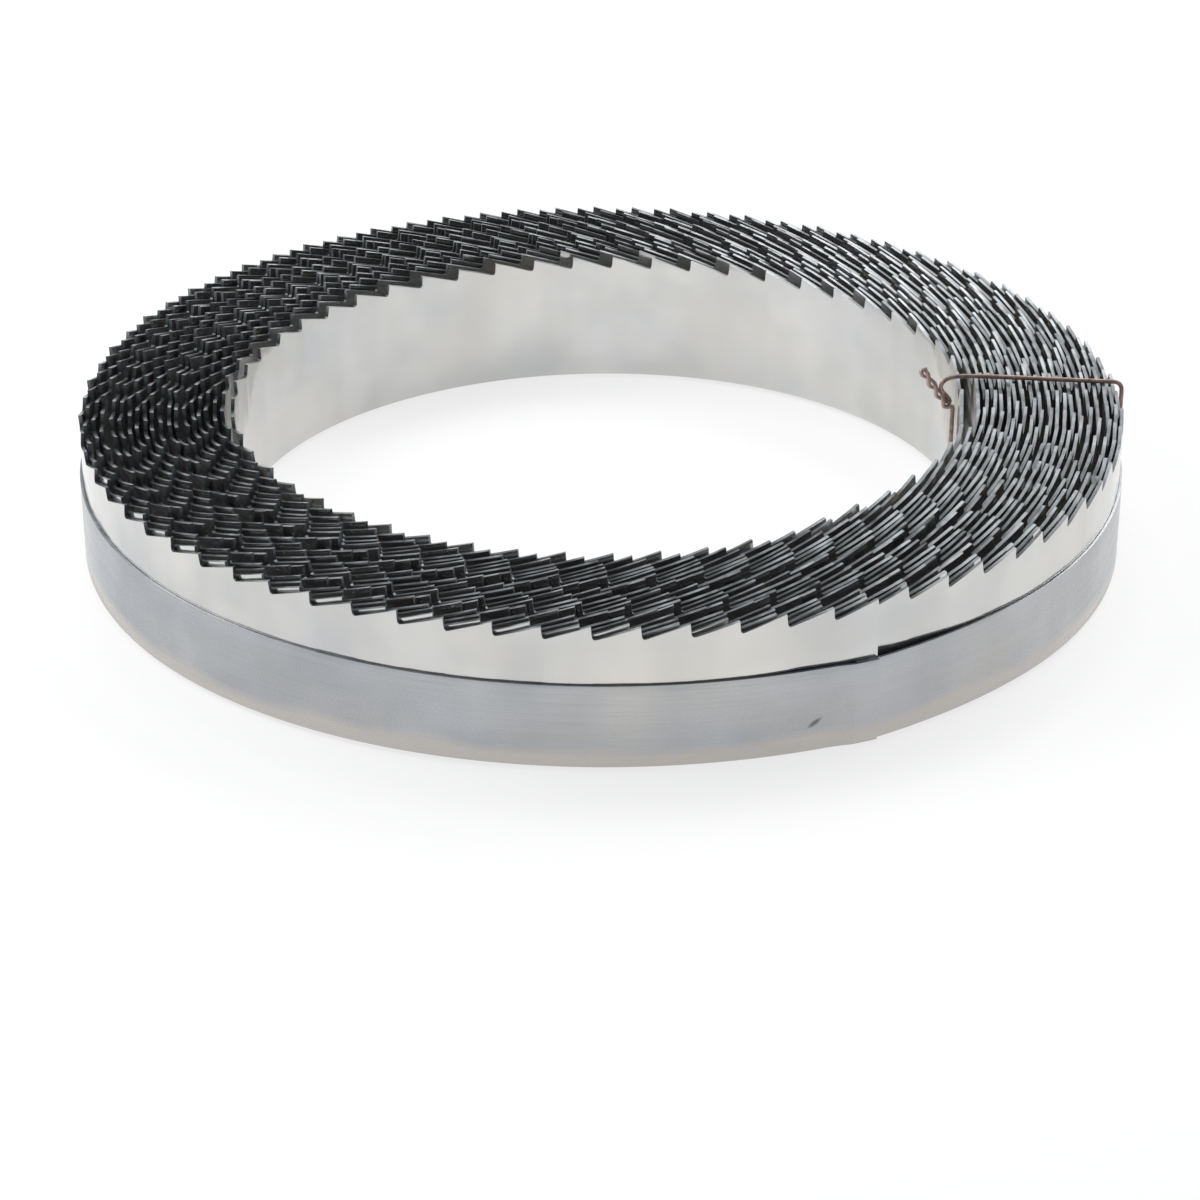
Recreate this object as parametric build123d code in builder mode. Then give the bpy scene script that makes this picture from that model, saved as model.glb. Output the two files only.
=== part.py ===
from build123d import *
from math import acos, cos, degrees, pi, radians, sin
import os

# A flat roll of band saw blade lying on its back edges, teeth up, with a plain strip
# round its outside and a twisted wire round its section. Origin: centre of the roll, on
# the floor. The roll is wound outwards anticlockwise, seen from above.

# Blade strip
blade_width = 20.0  # back edge to tooth tips
gauge = 0.5
tooth_pitch = 6.35
gullet_depth = 1.8
tooth_set = 0.2  # how far a tip leans out of the strip, each way in turn

# Roll
turns = 20
eye_radius = 53.5
turn_clearance = 0.2  # between the set teeth of two turns
seam_angle = -62.0  # where both ends of the strip are, from +X
end_spring = 0.4  # how far the outer end springs away from the roll
end_spring_span = 20.0  # over its last degrees
bulge = 0.8  # how far the innermost turn stands into the eye beside the wire
bulge_span = 30.0

# Outer band, one wrap with its end lapped over its start
band_height = 12.7
band_gauge = 0.4
band_lap = 25.0
lap_clearance = 0.1

# Tie wire, round the section of the roll
wire_diameter = 0.65
wire_angle = 3.0
wire_facets = 10  # flats of its section
wire_clearance = 0.05  # over the tooth tips and under the back edges
wire_slack = 0.25  # beside the walls of the roll
wire_sector = 20.0  # part of the back edges that the wire draws up off its lower run
wire_corner = 0.7  # radius of its bends at the corners of the section
knot_bend = 1.2
arch_radius = 2.6  # radius of its bend into the eye, above the knot
knot_inset = 3.2  # knot to inner wall
knot_drop = 2.6  # knot to tooth tips
pigtail_reach = 4.8  # how far the twisted ends point into the eye
pigtail_rise = 5.2

turn_spacing = gauge + 2 * tooth_set + turn_clearance
floor_gap = wire_diameter  # the back edges are level with the top of the wire's lower run
clear_of_wire = floor_gap + wire_clearance
gullet_height = floor_gap + blade_width - gullet_depth
tip_height = floor_gap + blade_width
last_turn = turns - 1
full_turn = 360.0


def at(radius, angle, height):
    """A point given by its distance from the roll's axis, its angle from +X and its height."""
    return Vector(radius * cos(radians(angle)), radius * sin(radians(angle)), height)


def teeth_in(turn):
    """Whole number of teeth in one turn, at the blade's constant pitch."""
    middle_radius = eye_radius + turn_spacing * (turn + 0.5)
    return round(2 * pi * middle_radius / tooth_pitch)


def bump(angle, middle, span):
    """Smooth hump of height 1, as wide as span, round an angle."""
    away = abs((angle - middle + full_turn / 2) % full_turn - full_turn / 2)
    return cos(pi * away / span) ** 2 if away < span / 2 else 0.0


def strip_radius(turn, angle):
    """Radius of the strip's inner face, at an angle counted from the seam."""
    radius = eye_radius + turn_spacing * (turn + angle / full_turn)
    if turn == 0:
        radius -= bulge * bump(seam_angle + angle, wire_angle, bulge_span)
    if turn == last_turn:
        past = max(0.0, angle - full_turn + end_spring_span) / end_spring_span
        radius += end_spring * past**2
    return radius


def gullet(turn, station, across):
    """Bottom of a gullet: across is 0 on the strip's inner face and 1 on its outer face."""
    angle = full_turn * station / teeth_in(turn)
    return at(strip_radius(turn, angle) + across * gauge, seam_angle + angle, gullet_height)


def tip(turn, station, across, lean):
    """Tooth tip above a gullet, set outwards (lean 1) or inwards (lean -1)."""
    angle = full_turn * station / teeth_in(turn)
    radius = strip_radius(turn, angle) + across * gauge + lean * tooth_set
    return at(radius, seam_angle + angle, tip_height)


def lowered(point, height):
    return Vector(point.X, point.Y, height)


def flat(*corners):
    return Face(Wire.make_polygon(corners))


def tooth_faces(turn, station, lean):
    """One tooth: its back rises from this gullet to a tip above the next one."""
    inner, outer = gullet(turn, station, 0), gullet(turn, station, 1)
    inner_foot, outer_foot = gullet(turn, station + 1, 0), gullet(turn, station + 1, 1)
    inner_tip, outer_tip = tip(turn, station + 1, 0, lean), tip(turn, station + 1, 1, lean)
    return [
        flat(inner, inner_foot, inner_tip),
        flat(outer, outer_foot, outer_tip),
        flat(inner, outer, outer_tip),
        flat(inner, outer_tip, inner_tip),
        flat(inner_foot, outer_foot, outer_tip, inner_tip),
    ]


def near_wire(turn, station):
    """Whether the tie wire's lower run passes near a station."""
    angle = seam_angle + full_turn * station / teeth_in(turn)
    away = abs((angle - wire_angle + full_turn / 2) % full_turn - full_turn / 2)
    return away < wire_sector / 2


def back_height(turn, station):
    """Height of the back edge from a station to the next one."""
    drawn_up = near_wire(turn, station) and near_wire(turn, station + 1)
    return clear_of_wire if drawn_up else floor_gap


def wall_faces(turn, across):
    """Wall of the roll under one turn's gullets, from the back edges up."""
    faces = []
    for station in range(teeth_in(turn)):
        here, there = gullet(turn, station, across), gullet(turn, station + 1, across)
        before, low, after = (back_height(turn, station + step) for step in (-1, 0, 1))
        corners = [here, there]
        if after > low:
            corners.append(lowered(there, after))
        corners += [lowered(there, low), lowered(here, low)]
        if before > low:
            corners.append(lowered(here, before))
        faces.append(flat(*corners))
    return faces


def line_of(turn, across):
    """The gullets of one turn along one face of the strip, from seam to seam."""
    return [gullet(turn, station, across) for station in range(teeth_in(turn) + 1)]


def groove_floor(turn):
    """Floor between a turn and the next one out, level with the gullets."""
    return flat(*line_of(turn, 1), *reversed(line_of(turn + 1, 0)))


def end_face(turn_in, turn_out, across):
    """Step of the roll's wall where one end of the strip lies on the turn beside it."""
    start, stop = gullet(turn_in, 0, across), gullet(turn_out, teeth_in(turn_out), across)
    between = gullet(turn_in, 0, 1) if across == 0 else gullet(turn_out, teeth_in(turn_out), 0)
    return flat(start, between, stop, lowered(stop, floor_gap), lowered(start, floor_gap))


def back_faces():
    """The back edges: one face near the wire, drawn up, the other one, and the steps between."""
    outside, eye = line_of(last_turn, 1), line_of(0, 0)
    outside_near = [station for station in range(len(outside)) if near_wire(last_turn, station)]
    eye_near = [station for station in range(len(eye)) if near_wire(0, station)]
    first_out, last_out = outside_near[0], outside_near[-1]
    first_in, last_in = eye_near[0], eye_near[-1]
    drawn_up = outside[first_out : last_out + 1] + eye[last_in : first_in - 1 : -1]
    rest_out = outside[last_out:] + outside[: first_out + 1]
    rest_in = eye[last_in:] + eye[: first_in + 1]
    faces = [
        flat(*(lowered(point, clear_of_wire) for point in drawn_up)),
        flat(*(lowered(point, floor_gap) for point in rest_out + rest_in[::-1])),
    ]
    for out, inner in ((first_out, first_in), (last_out, last_in)):
        ends = outside[out], eye[inner]
        high = [lowered(point, clear_of_wire) for point in ends]
        low = [lowered(point, floor_gap) for point in ends]
        faces.append(flat(*high, *reversed(low)))
    return faces


# The strip: every turn with its own teeth, solid between the turns below the gullets
roll_faces = wall_faces(0, 0) + wall_faces(last_turn, 1)
roll_faces += [end_face(0, 0, 0), end_face(last_turn, last_turn, 1)]
roll_faces += [groove_floor(turn) for turn in range(last_turn)]
lean = 1
for turn in range(turns):
    for station in range(teeth_in(turn)):
        roll_faces += tooth_faces(turn, station, lean)
        lean = -lean
roll_faces += back_faces()

with BuildPart() as blade_coil:
    add(Solid(Shell(roll_faces)))

# The band: an open polygon that lies on the outermost turn, pulled straight from the
# strip's outer end to the turn beside it, with its own end lapped over its start
wall_stations = teeth_in(last_turn)
corner_radius = strip_radius(last_turn, full_turn) + gauge
start_radius = strip_radius(last_turn, 0) + gauge
station_angle = full_turn / wall_stations
bridge_stations = int(degrees(acos(start_radius / corner_radius)) / station_angle)
lap_stations = round(band_lap / tooth_pitch)
lap_start = wall_stations - lap_stations


def band_point(station, away):
    """A point beside the outermost turn's wall, away from it by a distance."""
    angle = full_turn * station / wall_stations
    radius = strip_radius(last_turn, angle) + gauge + away
    return at(radius, seam_angle + angle, 0)


under_lap = [(station, 0.0) for station in range(lap_start, wall_stations + 1)]
round_roll = [(station, 0.0) for station in range(bridge_stations, lap_start)]
over_lap = [(station, band_gauge + lap_clearance) for station in range(lap_start, wall_stations + 1)]
band_course = under_lap + round_roll + over_lap
band_inside = [band_point(station, away) for station, away in band_course]
band_outside = [band_point(station, away + band_gauge) for station, away in band_course]

with BuildPart() as outer_band:
    with BuildSketch(Plane.XY.offset(clear_of_wire)):
        with BuildLine():
            Polyline(*band_inside, *reversed(band_outside), close=True)
        make_face()
    extrude(amount=band_height)

# The wire: two twisted ends in the eye, side by side, and one loop round the section
wire_radius = wire_diameter / 2
wire_from_seam = (wire_angle - seam_angle) % full_turn
inner_wire = strip_radius(0, wire_from_seam) - wire_slack - wire_radius
band_radius = strip_radius(last_turn, wire_from_seam) + gauge + band_gauge
outer_wire = band_radius + wire_slack + wire_radius
over_teeth = tip_height + wire_clearance + wire_radius
knot_radius = inner_wire - knot_inset
knot_height = tip_height - knot_drop
strand_offset = wire_radius + wire_clearance


def on_wire(radius, height, side):
    """A point of the wire's route, in the radial plane of the wire."""
    return at(radius, wire_angle, height) + at(side * strand_offset, wire_angle + 90, 0)


wire_route = [
    on_wire(knot_radius - pigtail_reach, knot_height + pigtail_rise, 1),
    on_wire(knot_radius, knot_height, 1),
    on_wire(inner_wire - wire_slack, over_teeth, 1),
    on_wire(outer_wire, over_teeth, 0),
    on_wire(outer_wire, wire_radius, 0),
    on_wire(inner_wire, wire_radius, -1),
    on_wire(knot_radius, knot_height, -1),
    on_wire(knot_radius - pigtail_reach, knot_height + pigtail_rise, -1),
]
wire_bends = [knot_bend, arch_radius, wire_corner, wire_corner, wire_corner, knot_bend]

with BuildPart() as tie_wire:
    with BuildLine():
        wire_path = FilletPolyline(*wire_route, radius=wire_bends)
    with BuildSketch(Plane(origin=wire_path @ 0, z_dir=wire_path % 0)) as wire_section:
        RegularPolygon(wire_radius, wire_facets)
    sweep(path=wire_path)

os.makedirs("parts", exist_ok=True)
blade_coil.part.label = "blade_coil"
export_step(blade_coil.part, "parts/blade_coil.step")
outer_band.part.label = "outer_band"
export_step(outer_band.part, "parts/outer_band.step")
tie_wire.part.label = "tie_wire"
export_step(tie_wire.part, "parts/tie_wire.step")

wire_volume = wire_section.sketch.area * wire_path.length
print("wire volume over section times length", tie_wire.part.volume / wire_volume)
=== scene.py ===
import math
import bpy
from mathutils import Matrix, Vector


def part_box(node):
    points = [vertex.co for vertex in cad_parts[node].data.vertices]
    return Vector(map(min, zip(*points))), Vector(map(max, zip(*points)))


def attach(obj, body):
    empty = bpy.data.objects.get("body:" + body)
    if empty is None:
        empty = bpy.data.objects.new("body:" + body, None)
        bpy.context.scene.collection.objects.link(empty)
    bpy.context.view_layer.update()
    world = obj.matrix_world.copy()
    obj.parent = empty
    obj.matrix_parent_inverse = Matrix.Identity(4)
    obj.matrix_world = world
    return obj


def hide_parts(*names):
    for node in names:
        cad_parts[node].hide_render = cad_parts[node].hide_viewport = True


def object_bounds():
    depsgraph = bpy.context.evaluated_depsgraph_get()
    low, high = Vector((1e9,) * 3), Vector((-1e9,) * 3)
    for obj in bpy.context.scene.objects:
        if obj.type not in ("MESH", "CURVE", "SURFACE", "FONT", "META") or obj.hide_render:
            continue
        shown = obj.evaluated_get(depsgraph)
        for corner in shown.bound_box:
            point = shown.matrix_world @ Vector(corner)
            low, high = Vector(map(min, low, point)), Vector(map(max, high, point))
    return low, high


bl_info = {
    "name": "Band saw blade roll",
    "version": (1, 0, 0),
    "blender": (4, 5, 0),
    "location": "3D View > Sidebar > Blade roll",
    "description": "Dresses a packed roll of band saw blade: toothed strip, outer band, tie wire and stage",
    "category": "Object",
}

import bpy
from mathutils import Vector

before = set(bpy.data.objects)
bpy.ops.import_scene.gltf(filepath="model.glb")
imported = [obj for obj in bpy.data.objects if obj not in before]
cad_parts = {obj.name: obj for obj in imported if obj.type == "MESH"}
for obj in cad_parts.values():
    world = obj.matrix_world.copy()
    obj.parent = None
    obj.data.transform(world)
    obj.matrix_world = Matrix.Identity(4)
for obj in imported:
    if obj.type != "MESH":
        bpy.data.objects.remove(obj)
CAD_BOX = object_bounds()

MM = 0.001
TURN = 2 * math.pi

# Where the CAD solids stand
COIL_LOW, COIL_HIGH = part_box("blade_coil")
BAND_LOW, BAND_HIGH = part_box("outer_band")

# Small waves in the lie of the turns: the pace of each against the winding angle, and its start
LIE_WAVES = ((2.37, 0.4), (1.31, 2.0), (0.43, 0.0))
LIFT_WAVE, LIFT_START = 0.37, 1.0
# Keeps the slack of single turns from repeating
SLACK_MIX = 2.4

# Turns over which the strip gets loose at its inner end, and is held again before its last turn
LOOSENING, TIGHTENING = 1.5, 0.5
# The outer turns are pushed together from here on, counted in turns from the outer end
CROWD_START, CROWD_FULL, CROWD_FADE, CROWD_END = 7, 1.5, 1.15, 0.85
# The turns next to the innermost one are clear of it here, in turns from the inner end
CLEAR_START, CLEAR_FULL, CLEAR_FADE, CLEAR_END = 0.8, 1.2, 1.5, 8.5

# Middle and width of the innermost turn's sag, counted round the roll from +X
SAG_MIDDLE, SAG_SPAN = math.radians(110), math.radians(200)
# Where the turns lie loosely, and the share of the spread there
LOOSE_PLACES = ((math.radians(-38), 1.0), (math.radians(-142), 0.6))
LOOSE_SPAN = math.radians(100)
# From the middle of the innermost turn's bulge to the wire
BULGE_LAG = math.radians(4)

# Steps of the lines that the strip and the band follow, in one turn and under the band's lap
STRIP_STEPS, BAND_STEPS, LAP_STEPS = 120, 260, 20
# Over which the band climbs onto its own start
LAP_RAMP = math.radians(2.5)
BAND_COLUMNS, BAND_ROWS = 400, 4

# Columns of one tooth, counted from the steep face of the tooth before it: share of the
# pitch, and height as a share of the gullet depth
TOOTH_PROFILE = (
    (0.015, 0.35),
    (0.03, 0.1),
    (0.07, 0.0),
    (0.13, 0.04),
    (0.34, 0.27),
    (0.56, 0.51),
    (0.78, 0.755),
    (1.0, 1.0),
)
TEETH_IN_MODULE = 2
# Points in one turn of a strand of the wire's tail, and its offset in radii of the wire
POINTS_IN_TWIST, STRAND_OFFSET = 8, 1.4

# The turns inside the roll get a deeper painted shade from this depth below the gullets down, which fades out
# by this height above them
SHADE_DEPTH, SHADE_FADE_RISE = 2.0 * MM, 0.3 * MM
# Painted shade darkens the cut edges from this far below the tips down, and fades out near the tips
SHADE_DROP, SHADE_END_DROP = 1.5 * MM, 0.3 * MM
# Share of the band's height up to which its warm painted reflection of the nearby floor and its shadow
# reaches
REFLECTION_REACH = 0.3

# Nick in the outside of the band, its height counted from the band's lower edge
NICK_ANGLE, NICK_RISE = math.radians(-69.1), 4.05 * MM
NICK_SLANT = math.radians(-32)
NICK_SIZE = (1.2 * MM, 3 * MM, 0.4 * MM)
NICK_COLOUR = (0.1, 0.09, 0.08)

# Inputs and output of the colours in a Mix node
MIX_FIRST, MIX_SECOND, MIX_RESULT = 6, 7, 2

# Area lamps that look at the origin: watts, size and place
LAMPS = {
    "key": (11.8, 0.75, (0.55, 0.65, 0.62)),
    "top": (2.2, 0.3, (-0.08, 0.45, 0.89)),
    "back": (1.0, 0.4, (-0.1, 1.1, 0.12)),
    "left": (1.8, 0.3, (-0.33, 0.05, 0.28)),
}
SKY_COLOUR = (0.88, 0.95, 1.0)
# Strength of the sky at the horizon and overhead, and the height by which it has faded
SKY_AT_HORIZON, SKY_OVERHEAD, SKY_FADE = 0.4, 0.22, 0.3
FLOOR_SIZE = 12
# Share of plain white in the floor as the camera and reflections see it
FLOOR_WHITE = 0.78

# The camera stands in front and looks down
CAMERA_PLACE = (-0.0004, -0.4539, 0.218)
CAMERA_DIP = math.radians(27.07)
CAMERA_LENS, CAMERA_SENSOR = 102, 36


class StripSizes(bpy.types.PropertyGroup):
    gauge: bpy.props.FloatProperty(
        name="Gauge", description="Thickness of the strip", default=0.5 * MM, unit="LENGTH"
    )
    tooth_pitch: bpy.props.FloatProperty(
        name="Tooth pitch",
        description="Tip to tip along the strip",
        default=6.3 * MM,
        unit="LENGTH",
    )
    gullet_depth: bpy.props.FloatProperty(
        name="Gullet depth",
        description="Tip down to the bottom of a gullet",
        default=1.8 * MM,
        unit="LENGTH",
    )
    tooth_set: bpy.props.FloatProperty(
        name="Set",
        description="How far a tip leans out of the strip",
        default=0.15 * MM,
        unit="LENGTH",
    )
    turns: bpy.props.IntProperty(name="Turns", description="Whole turns in the roll", default=20)
    eye_radius: bpy.props.FloatProperty(
        name="Eye radius",
        description="Inner face of the strip at its inner end",
        default=53.05 * MM,
        unit="LENGTH",
    )
    turn_spacing: bpy.props.FloatProperty(
        name="Turn spacing",
        description="From one turn to the next",
        default=1.1 * MM,
        unit="LENGTH",
    )
    seam_angle: bpy.props.FloatProperty(
        name="Seam angle",
        description="Where both ends of the strip are",
        default=math.radians(-62.5),
        subtype="ANGLE",
    )
    end_spring: bpy.props.FloatProperty(
        name="End spring",
        description="How far the outer end springs away",
        default=0.2 * MM,
        unit="LENGTH",
    )
    end_spring_span: bpy.props.FloatProperty(
        name="End spring span",
        description="Over the last part of the turn",
        default=math.radians(20),
        subtype="ANGLE",
    )
    end_hollow: bpy.props.FloatProperty(
        name="End hollow",
        description="How far the flat outer end leaves the round band",
        default=0.25 * MM,
        unit="LENGTH",
    )
    end_hollow_span: bpy.props.FloatProperty(
        name="End hollow span",
        description="Over the last part of the turn",
        default=math.radians(15),
        subtype="ANGLE",
    )
    bulge: bpy.props.FloatProperty(
        name="Bulge",
        description="How far the innermost turn stands off by the wire",
        default=1.35 * MM,
        unit="LENGTH",
    )
    bulge_span: bpy.props.FloatProperty(
        name="Bulge span",
        description="Width of the bulge",
        default=math.radians(42),
        subtype="ANGLE",
    )
    unevenness: bpy.props.FloatProperty(
        name="Unevenness",
        description="How unevenly the turns lie on each other",
        default=0.03 * MM,
        unit="LENGTH",
    )
    crowding: bpy.props.FloatProperty(
        name="Crowding",
        description="How far the outer turns are pushed together",
        default=0.5 * MM,
        unit="LENGTH",
    )
    looseness: bpy.props.FloatProperty(
        name="Looseness",
        description="How far the innermost turn is clear of the others",
        default=0.05 * MM,
        unit="LENGTH",
    )
    slump: bpy.props.FloatProperty(
        name="Slump",
        description="How far the innermost turn sags into the eye at the back",
        default=2.0 * MM,
        unit="LENGTH",
    )
    turn_slack: bpy.props.FloatProperty(
        name="Turn slack",
        description="How far single turns are off the even winding",
        default=0.15 * MM,
        unit="LENGTH",
    )
    spread: bpy.props.FloatProperty(
        name="Spread",
        description="How much more room the turns take at the front right, and partly at the front left",
        default=1.1 * MM,
        unit="LENGTH",
    )
    lift: bpy.props.FloatProperty(
        name="Lift",
        description="How far some turns stand above the others",
        default=0.16 * MM,
        unit="LENGTH",
    )


class BandSizes(bpy.types.PropertyGroup):
    gauge: bpy.props.FloatProperty(
        name="Gauge", description="Thickness of the band", default=0.4 * MM, unit="LENGTH"
    )
    lap: bpy.props.FloatProperty(
        name="Lap",
        description="How far its end lies over its start",
        default=3 * MM,
        unit="LENGTH",
    )
    lap_clearance: bpy.props.FloatProperty(
        name="Lap clearance",
        description="Between the lapped layers",
        default=0.04 * MM,
        unit="LENGTH",
    )
    step_span: bpy.props.FloatProperty(
        name="Step span",
        description="Over which it comes down off the strip's end",
        default=math.radians(20),
        subtype="ANGLE",
    )
    top_drop: bpy.props.FloatProperty(
        name="Top drop",
        description="How far its top edge is below the solid's",
        default=0.9 * MM,
        unit="LENGTH",
    )
    edge_bevel: bpy.props.FloatProperty(
        name="Edge bevel",
        description="Rounding of the slit edges",
        default=0.06 * MM,
        unit="LENGTH",
    )


class WireSizes(bpy.types.PropertyGroup):
    diameter: bpy.props.FloatProperty(
        name="Diameter", description="Diameter of the tie wire", default=0.65 * MM, unit="LENGTH"
    )
    angle: bpy.props.FloatProperty(
        name="Angle",
        description="Where the wire goes round the roll",
        default=math.radians(3),
        subtype="ANGLE",
    )
    slack: bpy.props.FloatProperty(
        name="Slack",
        description="Between the wire and the band, and half the room at the inner wall",
        default=0.15 * MM,
        unit="LENGTH",
    )
    knot_inset: bpy.props.FloatProperty(
        name="Knot inset", description="Knot to inner wall", default=1.5 * MM, unit="LENGTH"
    )
    knot_drop: bpy.props.FloatProperty(
        name="Knot drop", description="Knot to tooth tips", default=3.9 * MM, unit="LENGTH"
    )
    skew: bpy.props.FloatProperty(
        name="Skew",
        description="How far its outer side is off the radial line",
        default=2.6 * MM,
        unit="LENGTH",
    )
    tail_reach: bpy.props.FloatProperty(
        name="Tail reach",
        description="How far the twisted tail points into the eye",
        default=3.7 * MM,
        unit="LENGTH",
    )
    tail_rise: bpy.props.FloatProperty(
        name="Tail rise",
        description="How far the twisted tail rises",
        default=5.5 * MM,
        unit="LENGTH",
    )
    tail_twists: bpy.props.FloatProperty(
        name="Tail twists", description="Turns of the twisted tail", default=1.6
    )


class RollColours(bpy.types.PropertyGroup):
    steel: bpy.props.FloatVectorProperty(
        name="Strip",
        description="Polished strip",
        default=(0.64, 0.635, 0.625),
        subtype="COLOR",
        size=3,
    )
    edge: bpy.props.FloatVectorProperty(
        name="Tooth edges",
        description="Dark oxide on the cut edges",
        default=(0.145, 0.155, 0.162),
        subtype="COLOR",
        size=3,
    )
    band: bpy.props.FloatVectorProperty(
        name="Band",
        description="Cold rolled outer band",
        default=(0.44, 0.45, 0.47),
        subtype="COLOR",
        size=3,
    )
    wire: bpy.props.FloatVectorProperty(
        name="Wire",
        description="Annealed wire",
        default=(0.17, 0.12, 0.105),
        subtype="COLOR",
        size=3,
    )
    rust: bpy.props.FloatVectorProperty(
        name="Rust",
        description="Rust on the wire",
        default=(0.42, 0.29, 0.25),
        subtype="COLOR",
        size=3,
    )
    tail: bpy.props.FloatVectorProperty(
        name="Wire tail",
        description="Paler rust on the wire's tail",
        default=(0.46, 0.34, 0.31),
        subtype="COLOR",
        size=3,
    )
    # Warm painted reflection of the floor and its shadow next to the band, along the band's lower edge
    tan: bpy.props.FloatVectorProperty(
        name="Stain",
        description="Faint warm stain along the band's lower edge",
        default=(0.53, 0.505, 0.48),
        subtype="COLOR",
        size=3,
    )
    floor: bpy.props.FloatVectorProperty(
        name="Floor",
        description="Floor and backdrop",
        default=(0.86, 0.86, 0.86),
        subtype="COLOR",
        size=3,
    )


def bump_at(angle, middle, span):
    """Smooth hump of height 1, as wide as span, round an angle."""
    away = abs((angle - middle + math.pi) % TURN - math.pi)
    return math.cos(math.pi * away / span) ** 2 if away < span / 2 else 0.0


def eased(value, start, end):
    """Goes smoothly from 0 at start to 1 at end, whichever of the two is larger."""
    share = min(1.0, max(0.0, (value - start) / (end - start)))
    return share * share * (3 - 2 * share)


def loose_part(strip, angle):
    """1 well inside the winding, 0 at its inner end and along its last turn."""
    turns = angle / TURN
    last = strip.turns - 1
    return eased(turns, 0, LOOSENING) * eased(turns, last, last - TIGHTENING)


def wander(strip, angle):
    """How far the strip is off the even spiral, at an angle counted along the winding."""
    turns = angle / TURN
    place = strip.seam_angle + angle
    waves = sum(math.sin(pace * angle + start) for pace, start in LIE_WAVES)
    whole = math.floor(turns)
    here, after = (math.sin(SLACK_MIX * count**2) for count in (whole, whole + 1))
    slack = here + (after - here) * eased(turns, whole, whole + 1)
    free = (strip.unevenness * waves + strip.turn_slack * slack) * loose_part(strip, angle)
    crowded = eased(turns, strip.turns - CROWD_START, strip.turns - CROWD_FULL)
    crowded *= eased(turns, strip.turns - CROWD_END, strip.turns - CROWD_FADE)
    clear = eased(turns, CLEAR_START, CLEAR_FULL) * eased(turns, CLEAR_END, CLEAR_FADE)
    sag = strip.slump * bump_at(place, SAG_MIDDLE, SAG_SPAN) if turns < 1 else 0.0
    roomy = sum(share * bump_at(place, middle, LOOSE_SPAN) for middle, share in LOOSE_PLACES)
    spread = strip.spread * roomy * (2 * turns / strip.turns - 1)
    return free + strip.crowding * crowded + strip.looseness * clear - sag + spread


def height_of(strip, angle):
    """How far the strip stands above the lowest back edges."""
    return strip.lift * loose_part(strip, angle) * (0.5 + 0.5 * math.sin(LIFT_WAVE * angle + LIFT_START))


def strip_radius(strip, wire, angle):
    """Radius of the strip's middle plane, at an angle counted along the winding from its inner end."""
    radius = strip.eye_radius + strip.gauge / 2 + strip.turn_spacing * angle / TURN + wander(strip, angle)
    if angle < TURN:
        radius -= strip.bulge * bump_at(strip.seam_angle + angle, wire.angle - BULGE_LAG, strip.bulge_span)
    past = max(0.0, angle - strip.turns * TURN + strip.end_spring_span) / strip.end_spring_span
    return radius + strip.end_spring * past**2


def outer_wall(strip, wire, angle):
    """Radius of the roll's outer wall, at an angle counted from the seam."""
    return strip_radius(strip, wire, (strip.turns - 1) * TURN + angle) + strip.gauge / 2


def inner_wall_at(strip, wire):
    """Radius of the roll's inner wall where the wire is."""
    return strip_radius(strip, wire, (wire.angle - strip.seam_angle) % TURN) - strip.gauge / 2


def around(radius, angle, height=0.0):
    """A point at a radius, an angle and a height."""
    return Vector((radius * math.cos(angle), radius * math.sin(angle), height))


def line_through(name, kind, points):
    """An open line through the points. Returns its curve and its spline."""
    line = bpy.data.curves.new(name, "CURVE")
    line.dimensions = "3D"
    spline = line.splines.new(kind)
    spline.points.add(len(points) - 1)
    for place, point in zip(spline.points, points):
        place.co = (*point, 1)
    return line, spline


def length_of(points):
    """Length of the line through the points."""
    return sum((b - a).length for a, b in zip(points, points[1:]))


def only(piece):
    """Selects one piece and nothing else."""
    bpy.ops.object.select_all(action="DESELECT")
    piece.select_set(True)
    bpy.context.view_layer.objects.active = piece


def thicken(piece, gauge):
    """Gives a sheet its thickness, with the second material on its edges."""
    solidify = piece.modifiers.new("gauge", "SOLIDIFY")
    solidify.thickness = gauge
    solidify.offset = 0
    solidify.material_offset_rim = 1


def wind(piece, name, points):
    """Bends a straight piece along a line, and makes all its modifiers part of its mesh."""
    line, _ = line_through(name, "POLY", points)
    line.twist_mode = "Z_UP"
    path = bpy.data.objects.new(name, line)
    bpy.context.scene.collection.objects.link(path)
    bend = piece.modifiers.new("winding", "CURVE")
    bend.object = path
    bend.deform_axis = "POS_X"
    only(piece)
    for modifier in list(piece.modifiers):
        bpy.ops.object.modifier_apply(modifier=modifier.name)
    bpy.data.objects.remove(path)
    bpy.ops.object.mode_set(mode="EDIT")
    bpy.ops.mesh.select_all(action="SELECT")
    bpy.ops.mesh.normals_make_consistent(inside=False)
    bpy.ops.object.mode_set(mode="OBJECT")
    bpy.ops.object.shade_smooth_by_angle(angle=math.radians(35))


def node(tree, kind, **settings):
    """Adds a shader node. Each setting is one of its inputs or else one of its properties."""
    made = tree.nodes.new(kind)
    for name, value in settings.items():
        if name in made.inputs.keys():
            made.inputs[name].default_value = value
        else:
            setattr(made, name, value)
    return made


def new_material(name):
    """A material, its node tree and its shader."""
    material = bpy.data.materials.new(name)
    material.use_nodes = True
    return material, material.node_tree, material.node_tree.nodes["Principled BSDF"]


def coordinates(tree):
    """The object's own coordinates."""
    return node(tree, "ShaderNodeTexCoord").outputs["Object"]


def maths(tree, operation, first, second=None, use_clamp=False):
    """One step of arithmetic. The first value is a socket, the second a socket or a number."""
    step = node(tree, "ShaderNodeMath", operation=operation, use_clamp=use_clamp)
    tree.links.new(first, step.inputs[0])
    if isinstance(second, bpy.types.NodeSocket):
        tree.links.new(second, step.inputs[1])
    elif second is not None:
        step.inputs[1].default_value = second
    return step.outputs[0]


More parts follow.
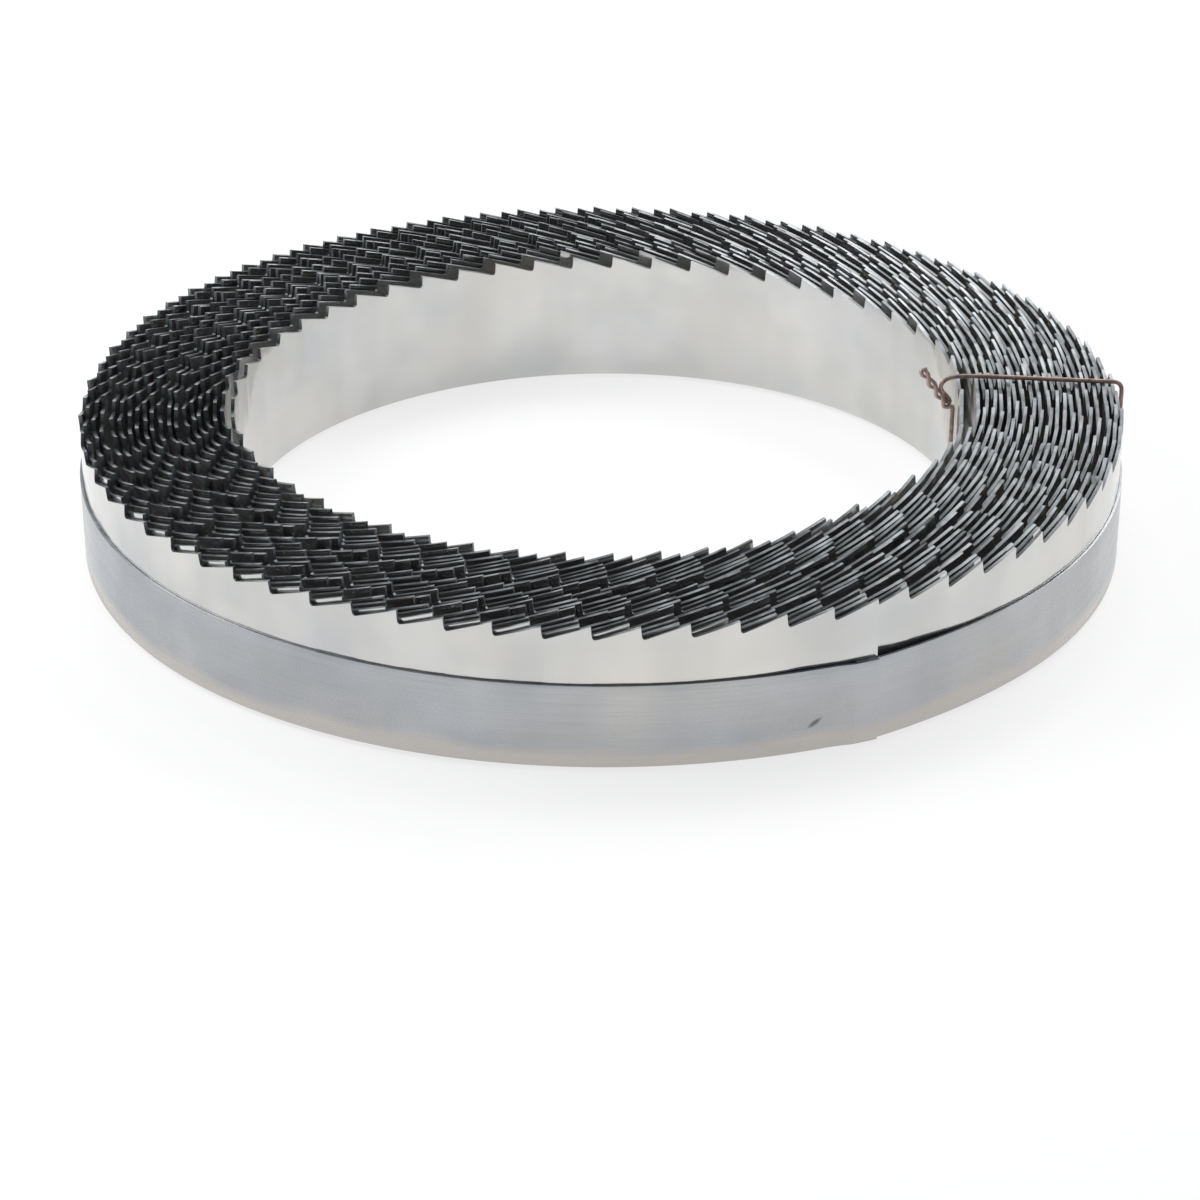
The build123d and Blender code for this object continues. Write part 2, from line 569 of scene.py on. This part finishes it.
def map_range(tree, value, source, target, clamp=True):
    """Carries a value from the source range over to the target range."""
    spread = node(tree, "ShaderNodeMapRange", clamp=clamp)
    for name, limit in zip(("From Min", "From Max", "To Min", "To Max"), (*source, *target)):
        spread.inputs[name].default_value = limit
    tree.links.new(value, spread.inputs["Value"])
    return spread.outputs["Result"]


def noise(tree, scale, stretch=(1, 1, 1), detail=3.0):
    """Noise on the object's own coordinates, packed closer along an axis by a larger stretch."""
    mapping = node(tree, "ShaderNodeMapping", Scale=stretch)
    texture = node(tree, "ShaderNodeTexNoise", Scale=scale, Detail=detail)
    tree.links.new(coordinates(tree), mapping.inputs["Vector"])
    tree.links.new(mapping.outputs["Vector"], texture.inputs["Vector"])
    return texture.outputs["Fac"]


def ranged(tree, value, low, high, reach=0.2):
    """Spreads a noise value over a range, the more steeply the smaller the reach."""
    return map_range(tree, value, (0.5 - reach, 0.5 + reach), (low, high))


def shaded(colour, share):
    """A colour made darker or paler."""
    return tuple(share * part for part in colour)


def mixed(tree, share, first, second):
    """Goes from the first colour to the second with a share. Each is a colour or a socket."""
    mix = node(tree, "ShaderNodeMix", data_type="RGBA")
    tree.links.new(share, mix.inputs[0])
    for index, colour in ((MIX_FIRST, first), (MIX_SECOND, second)):
        if isinstance(colour, bpy.types.NodeSocket):
            tree.links.new(colour, mix.inputs[index])
        else:
            mix.inputs[index].default_value = (*colour, 1)
    return mix.outputs[MIX_RESULT]


def clouded(tree, colour):
    """A steel colour with warm and cool clouds, broad and small, and soft streaks across the strip."""
    cool = (0.88 * colour[0], 0.91 * colour[1], 0.95 * colour[2])
    warm = (1.1 * colour[0], 1.07 * colour[1], 1.0 * colour[2])
    broad = mixed(tree, ranged(tree, noise(tree, 42, (1, 1, 1.3)), 0, 1), cool, warm)
    patches = ranged(tree, noise(tree, 95, (1, 1, 1.1), detail=1.5), 0, 0.45, reach=0.09)
    small = mixed(tree, patches, broad, shaded(colour, 1.15))
    streaks = ranged(tree, noise(tree, 80, (1, 1, 0.12), detail=2), 0, 0.45, reach=0.15)
    return mixed(tree, streaks, small, shaded(colour, 0.8))


def nick_mask(tree):
    """Strong in a short slanting mark on the band's outside, 0 elsewhere."""
    radius = (BAND_HIGH.x - BAND_LOW.x) / 2
    mapping = node(tree, "ShaderNodeMapping", vector_type="TEXTURE", Scale=NICK_SIZE)
    mapping.inputs["Location"].default_value = around(radius, NICK_ANGLE, BAND_LOW.z + NICK_RISE)
    mapping.inputs["Rotation"].default_value = (0, NICK_SLANT, NICK_ANGLE + math.pi / 2)
    far = node(tree, "ShaderNodeVectorMath", operation="LENGTH")
    tree.links.new(coordinates(tree), mapping.inputs["Vector"])
    tree.links.new(mapping.outputs["Vector"], far.inputs[0])
    return map_range(tree, far.outputs["Value"], (0.5, 1.1), (0.75, 0.0))


def ring_share(tree, inner, outer):
    """1 between two radii round the roll's axis, 0 elsewhere."""
    flat = node(tree, "ShaderNodeMapping", Scale=(1, 1, 0))
    radius = node(tree, "ShaderNodeVectorMath", operation="LENGTH")
    tree.links.new(coordinates(tree), flat.inputs["Vector"])
    tree.links.new(flat.outputs["Vector"], radius.inputs[0])
    away = maths(tree, "SUBTRACT", radius.outputs["Value"], (inner + outer) / 2)
    reach = (outer - inner) / 2
    return map_range(tree, maths(tree, "ABSOLUTE", away), (reach - 0.3 * MM, reach), (1.0, 0.0))


def height_share(tree, heights, shares, wobble):
    """A share that changes between two heights, with a wobbly boundary."""
    split = node(tree, "ShaderNodeSeparateXYZ")
    tree.links.new(coordinates(tree), split.inputs["Vector"])
    share = map_range(tree, split.outputs["Z"], heights, shares, clamp=False)
    return maths(tree, "ADD", share, wobble, use_clamp=True)


def bumped(tree, shader, height, strength, distance):
    """Gives a shader a bump."""
    bump = node(tree, "ShaderNodeBump", Strength=strength, Distance=distance)
    tree.links.new(height, bump.inputs["Height"])
    tree.links.new(bump.outputs["Normal"], shader.inputs["Normal"])


def strip_steel(strip, colours):
    """Polished strip: cloudy gloss with fine marks along its length. On the turns inside the roll it carries
    painted shade, deeper below the gullets, where it is also rougher and less metallic.
    """
    material, tree, shader = new_material("strip_steel")
    marks = noise(tree, 60, (1, 1, 60), detail=2)
    second_turn = strip.eye_radius + strip.turn_spacing + strip.gauge
    last_turn = strip.eye_radius + (strip.turns - 1) * strip.turn_spacing + strip.gauge
    between = ring_share(tree, second_turn + 0.1 * MM, last_turn - 0.2 * MM)
    gullets = COIL_HIGH.z - strip.gullet_depth
    heights = (gullets - SHADE_DEPTH, gullets + SHADE_FADE_RISE)
    below = height_share(tree, heights, (1.0, 0.0), ranged(tree, marks, -0.1, 0.1))
    deep = maths(tree, "MULTIPLY", between, below)
    # Painted shade: the turns inside the roll are darker, and darker still below the gullets
    painted_turn_shade = mixed(tree, between, clouded(tree, colours.steel), shaded(colours.steel, 0.5))
    painted_deep_shade = mixed(tree, deep, painted_turn_shade, shaded(colours.steel, 0.6))
    polish = ranged(tree, marks, 0.08, 0.18)
    rough = maths(tree, "MAXIMUM", polish, map_range(tree, deep, (0, 1), (0.08, 0.3)))
    tree.links.new(painted_deep_shade, shader.inputs["Base Color"])
    tree.links.new(map_range(tree, deep, (0, 1), (0.9, 0.5)), shader.inputs["Metallic"])
    tree.links.new(rough, shader.inputs["Roughness"])
    bumped(tree, shader, noise(tree, 45, (1, 1, 2)), 0.2, 0.002)
    return material


def edge_oxide(colours):
    """Ground and hardened edges: dark grey with paler spots that are partly wear and partly painted glints,
    and painted shade darker down towards the gullets.
    """
    material, tree, shader = new_material("edge_oxide")
    shader.inputs["Metallic"].default_value = 0.55
    grain = noise(tree, 420, detail=5)
    # Paler spots: partly wear, partly painted glints
    worn_and_glints = mixed(tree, ranged(tree, grain, 0, 1), shaded(colours.edge, 0.5), shaded(colours.edge, 2.1))
    # Painted shade: the cut edges darker from below the tips down towards the gullets
    heights = (COIL_HIGH.z - SHADE_DROP, COIL_HIGH.z - SHADE_END_DROP)
    rise = height_share(tree, heights, (0.0, 1.0), ranged(tree, grain, -0.1, 0.1))
    tree.links.new(mixed(tree, rise, shaded(colours.edge, 0.5), worn_and_glints), shader.inputs["Base Color"])
    tree.links.new(ranged(tree, grain, 0.3, 0.45), shader.inputs["Roughness"])
    return material


def band_steel(colours):
    """Cold rolled band, cooler and a shade darker than the strip, with a nick, and a warm painted reflection
    of the nearby floor and its shadow along its lower edge.
    """
    material, tree, shader = new_material("band_steel")
    shader.inputs["Metallic"].default_value = 1.0
    heights = (BAND_LOW.z, BAND_LOW.z + REFLECTION_REACH * (BAND_HIGH.z - BAND_LOW.z))
    wobble = ranged(tree, noise(tree, 55, (1, 1, 0.2)), -0.45, 0.45)
    above_reflection = height_share(tree, heights, (-1.0, 1.5), wobble)
    # Painted reflection: warm tint towards the band's lower edge
    cloudy = mixed(tree, above_reflection, colours.tan, clouded(tree, colours.band))
    tree.links.new(mixed(tree, nick_mask(tree), cloudy, NICK_COLOUR), shader.inputs["Base Color"])
    tree.links.new(ranged(tree, noise(tree, 70, (1, 1, 50), detail=2), 0.2, 0.34), shader.inputs["Roughness"])
    bumped(tree, shader, noise(tree, 40, (1, 1, 1.5)), 0.25, 0.002)
    return material


def slit_edge(colours):
    """Slit edges of the band: plain mid grey."""
    material, tree, shader = new_material("slit_edge")
    shader.inputs["Metallic"].default_value = 0.6
    grain = noise(tree, 400)
    grey = mixed(tree, ranged(tree, grain, 0, 1), shaded(colours.band, 0.45), shaded(colours.band, 0.75))
    tree.links.new(grey, shader.inputs["Base Color"])
    tree.links.new(ranged(tree, grain, 0.35, 0.5), shader.inputs["Roughness"])
    return material


def wire_rust(knot_radius, colours):
    """Annealed wire with thin rust, paler along the tail that points into the eye."""
    material, tree, shader = new_material("wire_rust")
    shader.inputs["Metallic"].default_value = 0.5
    shader.inputs["Roughness"].default_value = 0.5
    spots = noise(tree, 700)
    rusty = mixed(tree, ranged(tree, spots, 0, 1), colours.wire, colours.rust)
    tail = ring_share(tree, 0, knot_radius - 0.5 * MM)
    tree.links.new(mixed(tree, tail, rusty, colours.tail), shader.inputs["Base Color"])
    bumped(tree, shader, spots, 0.4, 0.0003)
    return material


class ROLL_OT_strip(bpy.types.Operator):
    """Winds the toothed strip into a roll"""

    bl_idname = "roll.strip"
    bl_label = "Toothed strip"

    def execute(self, context):
        strip, wire = context.scene.roll_strip, context.scene.roll_wire
        points = strip_course(strip, wire)
        strip_length = length_of(points)
        modules = round(strip_length / strip.tooth_pitch / TEETH_IN_MODULE)
        pitch = strip_length / modules / TEETH_IN_MODULE
        columns = len(TOOTH_PROFILE) * TEETH_IN_MODULE

        bpy.ops.object.select_all(action="DESELECT")
        bpy.ops.mesh.primitive_grid_add(x_subdivisions=columns, y_subdivisions=2, size=1, location=(0, 0, 0))
        piece = context.active_object
        piece.name = "blade_strip"
        bpy.ops.object.mode_set(mode="EDIT")
        bpy.ops.transform.rotate(
            value=math.pi / 2, orient_axis="X", orient_type="GLOBAL", center_override=(0, 0, 0)
        )
        bpy.ops.object.mode_set(mode="OBJECT")
        shape_module(piece, strip, pitch)

        array = piece.modifiers.new("teeth", "ARRAY")
        array.count = modules
        array.use_relative_offset = False
        array.use_constant_offset = True
        array.constant_offset_displace = (TEETH_IN_MODULE * pitch, 0, 0)
        array.use_merge_vertices = True
        array.merge_threshold = 0.01 * MM
        thicken(piece, strip.gauge)
        piece.data.materials.append(strip_steel(strip, context.scene.roll_colours))
        piece.data.materials.append(edge_oxide(context.scene.roll_colours))
        wind(piece, "winding_path", points)
        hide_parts("blade_coil")
        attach(piece, "root")
        return {"FINISHED"}


def strip_course(strip, wire):
    """The strip's middle line, from its inner end to its outer end."""
    steps = strip.turns * STRIP_STEPS
    whole = strip.turns * TURN
    points = []
    for step in range(steps + 1):
        angle = whole * step / steps
        radius = strip_radius(strip, wire, angle)
        if angle > whole - TURN / 2:
            radius -= strip.end_hollow * bump_at(angle, -strip.end_hollow_span / 2, strip.end_hollow_span)
        points.append(around(radius, strip.seam_angle + angle, height_of(strip, angle)))
    return points


def shape_module(piece, strip, pitch):
    """Moves the grid's columns to the tooth outline and leans the teeth in and out."""
    gullet = COIL_HIGH.z - strip.gullet_depth
    places, heights = [], []
    for tooth in range(TEETH_IN_MODULE):
        for share, rise in TOOTH_PROFILE:
            places.append((tooth + share) * pitch)
            heights.append(gullet + rise * strip.gullet_depth)
    first_share, first_rise = TOOTH_PROFILE[0]
    places.append((TEETH_IN_MODULE + first_share) * pitch)
    heights.append(gullet + first_rise * strip.gullet_depth)
    columns = sorted({round(v.co.x, 5) for v in piece.data.vertices})
    levels = sorted({round(v.co.z, 5) for v in piece.data.vertices})
    for vertex in piece.data.vertices:
        column = columns.index(round(vertex.co.x, 5))
        level = levels.index(round(vertex.co.z, 5))
        tooth = (column + len(TOOTH_PROFILE) - 2) // len(TOOTH_PROFILE)
        if level == 0:
            height = COIL_LOW.z
        elif level == len(levels) - 1:
            height = heights[column]
        else:
            height = gullet - 0.05 * strip.gullet_depth
        side = 1 if tooth % 2 == 0 else -1
        lean = max(0.0, (height - gullet) / strip.gullet_depth) * strip.tooth_set * side
        vertex.co = (places[column], lean, height)


def band_course(strip, wire, band):
    """The band's middle line: under its lap, over the step at the seam, round, and over its own start."""
    lap = band.lap / outer_wall(strip, wire, 0)
    lift = band.gauge + band.lap_clearance
    seam = strip.seam_angle
    step_down = outer_wall(strip, wire, TURN) - outer_wall(strip, wire, 0)
    under = [TURN - lap + lap * step / LAP_STEPS for step in range(LAP_STEPS)]
    points = [around(outer_wall(strip, wire, a) + band.gauge / 2, seam + a) for a in under]
    for step in range(BAND_STEPS + 1):
        angle = TURN * step / BAND_STEPS
        above = step_down * max(0.0, 1 - angle / band.step_span) ** 2
        above += lift * eased(angle, TURN - lap - LAP_RAMP, TURN - lap)
        points.append(around(outer_wall(strip, wire, angle) + band.gauge / 2 + above, seam + angle))
    return points


class ROLL_OT_band(bpy.types.Operator):
    """Wraps the plain band round the outside and laps its ends"""

    bl_idname = "roll.band"
    bl_label = "Outer band"

    def execute(self, context):
        strip, wire, band = context.scene.roll_strip, context.scene.roll_wire, context.scene.roll_band
        points = band_course(strip, wire, band)
        height = BAND_HIGH.z - BAND_LOW.z - band.top_drop
        bpy.ops.object.select_all(action="DESELECT")
        bpy.ops.mesh.primitive_grid_add(
            x_subdivisions=BAND_COLUMNS, y_subdivisions=BAND_ROWS, size=1, location=(0, 0, 0)
        )
        piece = context.active_object
        piece.name = "outer_band"
        bpy.ops.object.mode_set(mode="EDIT")
        bpy.ops.transform.rotate(
            value=-math.pi / 2, orient_axis="X", orient_type="GLOBAL", center_override=(0, 0, 0)
        )
        bpy.ops.transform.translate(value=(0.5, 0, 0.5))
        bpy.ops.transform.resize(value=(length_of(points), 1, height), center_override=(0, 0, 0))
        bpy.ops.transform.translate(value=(0, 0, BAND_LOW.z))
        bpy.ops.object.mode_set(mode="OBJECT")
        thicken(piece, band.gauge)
        bevel = piece.modifiers.new("edges", "BEVEL")
        bevel.width = band.edge_bevel
        bevel.segments = 2
        bevel.angle_limit = math.radians(60)
        piece.data.materials.append(band_steel(context.scene.roll_colours))
        piece.data.materials.append(slit_edge(context.scene.roll_colours))
        wind(piece, "band_path", points)
        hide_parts("outer_band")
        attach(piece, "root")
        return {"FINISHED"}


def wire_course(strip, wire, band):
    """Points of the wire: down one twisted end, round the section of the roll and up the other end."""
    # Worked out in the wire's own plane: x away from the axis, y along the turns, z up
    half = wire.diameter / 2
    bend = wire.diameter * 2
    skew = wire.skew
    inner_wall = inner_wall_at(strip, wire)
    inner = inner_wall - 2 * wire.slack - half
    from_seam = (wire.angle - strip.seam_angle) % TURN
    outer = outer_wall(strip, wire, from_seam) + band.gauge + wire.slack + half
    over = COIL_HIGH.z + half
    knot = Vector((inner_wall - wire.knot_inset, 0, COIL_HIGH.z - wire.knot_drop))
    tip = knot + Vector((-wire.tail_reach, 0, wire.tail_rise))
    along = (tip - knot).normalized()
    across = Vector((along.z, 0, -along.x))
    sideways = Vector((0, 1, 0))

    def strand(phase):
        """One strand of the tail, from the knot to its tip."""
        steps = round(POINTS_IN_TWIST * wire.tail_twists)
        points = []
        for step in range(steps + 1):
            turn = TURN * wire.tail_twists * step / steps + phase
            swirl = (across * math.cos(turn) + sideways * math.sin(turn)) * half * STRAND_OFFSET
            points.append(knot.lerp(tip, step / steps) + swirl)
        return points

    loop = [
        knot + Vector((0.4 * bend, 0.2 * bend, 0.6 * bend)),
        Vector((inner - 1.7 * bend, 0.2 * bend, over - 1.1 * bend)),
        Vector((inner - 0.6 * bend, 0.15 * bend, over + 0.2 * bend)),
        Vector((inner + 2.5 * bend, -0.1 * skew, over + 0.35 * bend)),
        Vector((0.5 * inner + 0.5 * outer, -0.5 * skew, over + 0.2 * bend)),
        Vector((outer - 2.2 * bend, -0.9 * skew, over + 0.05 * bend)),
        Vector((outer, -skew, over + 0.05 * bend)),
        Vector((outer, -skew, over - 2.2 * bend)),
        Vector((outer, -skew, over / 2)),
        Vector((outer, -skew, half + bend)),
        Vector((outer, -skew, half)),
        Vector((outer - bend, -skew, half)),
        Vector((inner + bend, 0, half)),
        Vector((inner, 0, half)),
        Vector((inner, 0, half + bend)),
        Vector((inner, 0, over / 2)),
        Vector((inner, -0.2 * bend, knot.z - 0.9 * bend)),
        Vector((inner, -0.3 * bend, knot.z)),
        knot + Vector((0.3 * bend, -0.3 * bend, -0.1 * bend)),
    ]
    hook = [tip + across * 2.2 * half, tip + along * 0.9 * half]
    flat = hook + strand(0)[::-1] + loop + strand(math.pi)
    return [around(p.x, wire.angle, p.z) + around(p.y, wire.angle + math.pi / 2) for p in flat]


class ROLL_OT_wire(bpy.types.Operator):
    """Ties the wire round the section of the roll and twists its ends"""

    bl_idname = "roll.wire"
    bl_label = "Tie wire"

    def execute(self, context):
        strip, wire, band = context.scene.roll_strip, context.scene.roll_wire, context.scene.roll_band
        line, spline = line_through("tie_wire", "NURBS", wire_course(strip, wire, band))
        spline.order_u = 3
        spline.use_endpoint_u = True
        spline.resolution_u = 5
        line.bevel_depth = wire.diameter / 2
        line.bevel_resolution = 4
        line.use_fill_caps = True
        piece = bpy.data.objects.new("tie_wire", line)
        context.scene.collection.objects.link(piece)
        only(piece)
        bpy.ops.object.convert(target="MESH")
        piece = context.active_object
        bpy.ops.object.shade_smooth_by_angle(angle=math.radians(50))
        knot_radius = inner_wall_at(strip, wire) - wire.knot_inset
        piece.data.materials.append(wire_rust(knot_radius, context.scene.roll_colours))
        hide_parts("tie_wire")
        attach(piece, "root")
        return {"FINISHED"}


def pale_floor(colours):
    """Pale floor that keeps shadows, and that the camera and reflections see nearly white."""
    material, tree, shader = new_material("pale_floor")
    shader.inputs["Base Color"].default_value = (*colours.floor, 1)
    shader.inputs["Roughness"].default_value = 0.7
    shader.inputs["Specular IOR Level"].default_value = 0.1
    ray = node(tree, "ShaderNodeLightPath")
    seen = maths(tree, "MAXIMUM", ray.outputs["Is Camera Ray"], ray.outputs["Is Glossy Ray"])
    plain = node(tree, "ShaderNodeEmission", Strength=1.0)
    both = node(tree, "ShaderNodeMixShader")
    tree.links.new(maths(tree, "MULTIPLY", seen, FLOOR_WHITE), both.inputs[0])
    tree.links.new(shader.outputs[0], both.inputs[1])
    tree.links.new(plain.outputs[0], both.inputs[2])
    tree.links.new(both.outputs[0], tree.nodes["Material Output"].inputs["Surface"])
    return material


def studio_sky():
    """Dim sky, brighter towards the horizon."""
    world = bpy.data.worlds.new("studio")
    world.use_nodes = True
    sky = world.node_tree
    background = sky.nodes["Background"]
    background.inputs["Color"].default_value = (*SKY_COLOUR, 1)
    place = node(sky, "ShaderNodeTexCoord")
    split = node(sky, "ShaderNodeSeparateXYZ")
    sky.links.new(place.outputs["Generated"], split.inputs["Vector"])
    strength = map_range(sky, split.outputs["Z"], (0.0, SKY_FADE), (SKY_AT_HORIZON, SKY_OVERHEAD))
    sky.links.new(strength, background.inputs["Strength"])
    return world


class ROLL_OT_stage(bpy.types.Operator):
    """Sets the floor, the lights and the camera"""

    bl_idname = "roll.stage"
    bl_label = "Stage"

    def execute(self, context):
        scene = context.scene
        bpy.ops.object.select_all(action="DESELECT")
        bpy.ops.mesh.primitive_plane_add(size=FLOOR_SIZE, location=(0, 0, CAD_BOX[0][2]))
        floor = context.active_object
        floor.name = "floor"
        floor.data.materials.append(pale_floor(scene.roll_colours))
        scene.world = studio_sky()
        scene.view_settings.view_transform = "Standard"

        for name, (energy, size, place) in LAMPS.items():
            lamp = bpy.data.lights.new(name, "AREA")
            lamp.energy = energy
            lamp.size = size
            light = bpy.data.objects.new(name, lamp)
            light.location = place
            light.rotation_euler = (-Vector(place)).to_track_quat("-Z", "Y").to_euler()
            scene.collection.objects.link(light)

        lens = bpy.data.cameras.new("camera")
        lens.lens = CAMERA_LENS
        lens.sensor_width = CAMERA_SENSOR
        lens.clip_start = 0.01
        camera = bpy.data.objects.new("camera", lens)
        camera.location = CAMERA_PLACE
        camera.rotation_euler = (math.pi / 2 - CAMERA_DIP, 0, 0)
        scene.collection.objects.link(camera)
        scene.camera = camera
        return {"FINISHED"}


class ROLL_PT_pieces(bpy.types.Panel):
    """Lists the pieces of the roll"""

    bl_label = "Blade roll"
    bl_idname = "ROLL_PT_pieces"
    bl_space_type = "VIEW_3D"
    bl_region_type = "UI"
    bl_category = "Blade roll"

    def draw(self, context):
        for operator in OPERATORS:
            self.layout.operator(operator.bl_idname)


SIZES = (
    ("roll_strip", StripSizes),
    ("roll_band", BandSizes),
    ("roll_wire", WireSizes),
    ("roll_colours", RollColours),
)
OPERATORS = (ROLL_OT_strip, ROLL_OT_band, ROLL_OT_wire, ROLL_OT_stage)


def register():
    for name, group in SIZES:
        bpy.utils.register_class(group)
        setattr(bpy.types.Scene, name, bpy.props.PointerProperty(type=group))
    for operator in OPERATORS:
        bpy.utils.register_class(operator)
    bpy.utils.register_class(ROLL_PT_pieces)


def unregister():
    bpy.utils.unregister_class(ROLL_PT_pieces)
    for operator in reversed(OPERATORS):
        bpy.utils.unregister_class(operator)
    for name, group in reversed(SIZES):
        delattr(bpy.types.Scene, name)
        bpy.utils.unregister_class(group)


def main():
    register()
    bpy.ops.roll.strip()
    bpy.ops.roll.band()
    bpy.ops.roll.wire()
    bpy.ops.roll.stage()


if __name__ == "__main__":
    main()
